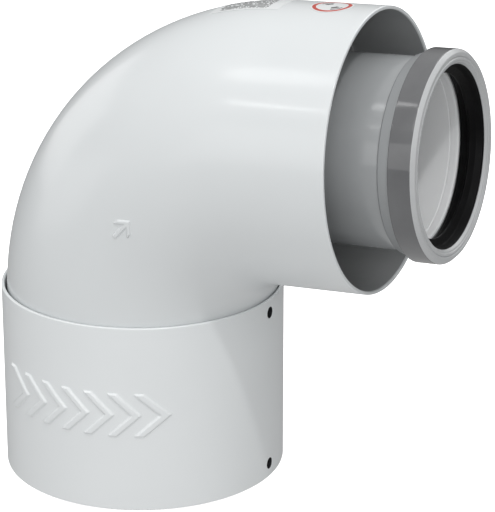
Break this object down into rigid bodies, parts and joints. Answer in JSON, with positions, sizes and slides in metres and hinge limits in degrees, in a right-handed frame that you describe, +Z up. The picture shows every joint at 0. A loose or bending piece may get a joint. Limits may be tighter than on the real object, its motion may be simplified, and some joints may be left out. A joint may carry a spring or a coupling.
{
  "type": "flue elbow",
  "caption": "Concentric flue elbow: a grey socketed flue pipe centred inside a white air duct bend, with a sliding clamp sleeve at its foot.",
  "frame": {"origin": "centre of the clamp sleeve's lower rim, on the inlet axis", "axes": "+Z up along the inlet axis, +X the horizontal direction in which the outlet points, +Y across the bend, so that the three are right-handed"},
  "size_m": [0.1749, 0.1047, 0.1816],
  "materials": {
    "duct_paint": "gloss",
    "sleeve_paint": "gloss",
    "flue_plastic": "satin",
    "cap_plastic": "gloss",
    "seal_rubber": "matte",
    "spacer_plastic": "satin",
    "label_film": "satin"
  },
  "bodies": {
    "elbow": {"outer_elbow": "duct_paint", "flue_elbow": "flue_plastic", "socket_cap": "cap_plastic", "flue_seal": "seal_rubber", "inlet_spacer": "spacer_plastic", "outlet_spacer": "spacer_plastic", "data_label": "label_film", "round_label": "label_film"},
    "sleeve": {"clamp_sleeve": "sleeve_paint"}
  },
  "joints": [
    {"name": "sleeve_slide", "type": "slide", "parent": "elbow", "child": "sleeve", "axis": [0, 0, 1], "range_m": [-0.025, 0]}
  ]
}
